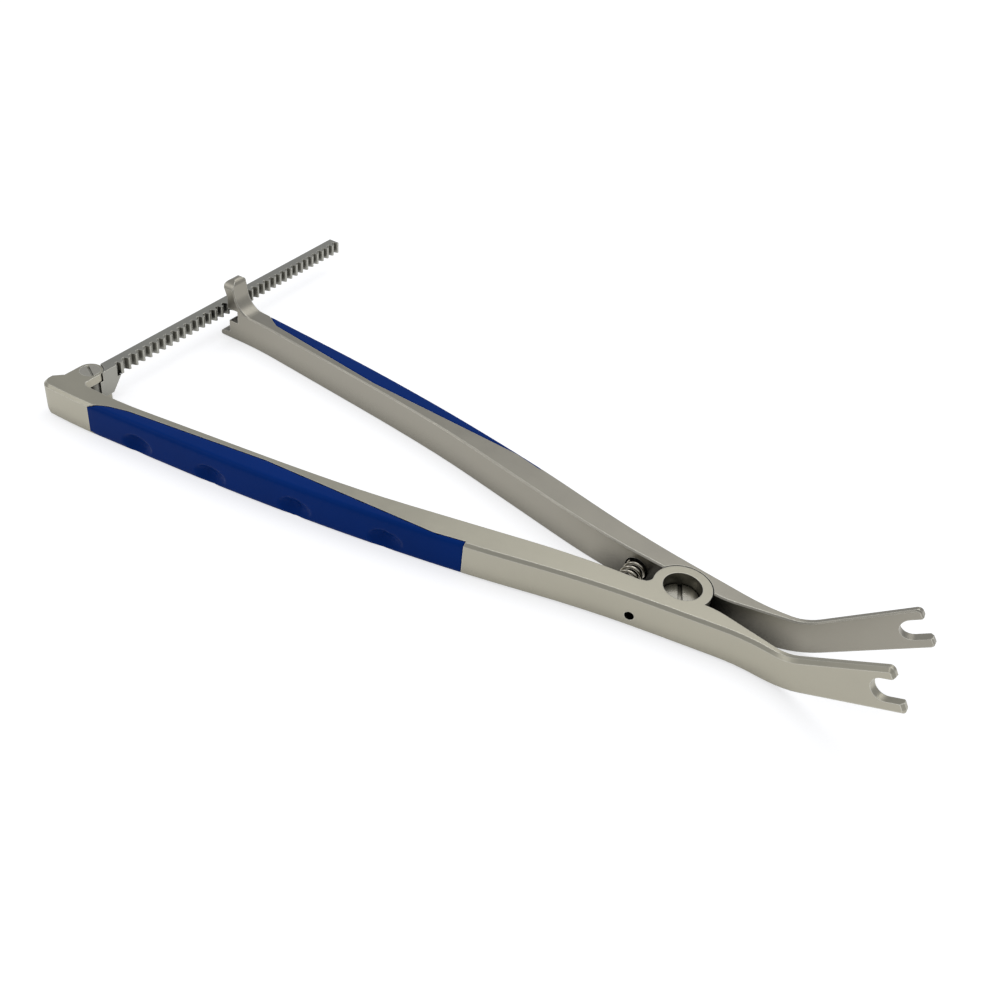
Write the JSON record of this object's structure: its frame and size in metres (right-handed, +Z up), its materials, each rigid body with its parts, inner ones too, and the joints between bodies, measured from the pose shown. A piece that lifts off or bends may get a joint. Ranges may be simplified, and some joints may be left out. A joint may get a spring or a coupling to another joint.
{
  "type": "spinal distraction forceps",
  "caption": "Long steel forceps whose notched, bent-up jaws spread as the gripped handles are squeezed, held by a hinged ratchet bar.",
  "frame": {"origin": "on the pivot axis, level with the underside the instrument rests on", "axes": "+X along the instrument toward the jaws, +Y toward the far arm, +Z up along the pivot axis"},
  "size_m": [0.2582, 0.1315, 0.0265],
  "materials": {
    "arm_steel": "satin bead-blasted stainless steel",
    "grip": "blue moulded silicone with a soft sheen",
    "screw_steel": "turned stainless steel",
    "spring_steel": "drawn spring wire",
    "bar_steel": "satin stainless steel, cut teeth"
  },
  "bodies": {
    "near_side": {"near_arm": "arm_steel", "near_grip": "grip", "hinge_screw": "screw_steel", "handle_spring": "spring_steel"},
    "far_side": {"far_arm": "arm_steel", "far_grip": "grip", "pivot_screw": "screw_steel"},
    "bar": {"ratchet_bar": "bar_steel"}
  },
  "joints": [
    {"name": "arms_pivot", "type": "hinge", "parent": "near_side", "child": "far_side", "pos_m": [0, 0, 0], "axis": [0, 0, 1], "range_deg": [-17.5, 12.5], "stiffness_Nm_per_rad": 0.3, "deforming": ["handle_spring"]},
    {"name": "bar_swing", "type": "hinge", "parent": "near_side", "child": "bar", "pos_m": [-0.1892, -0.0243, 0.0054], "axis": [0, 0, 1], "range_deg": [-4.6, 30]}
  ]
}
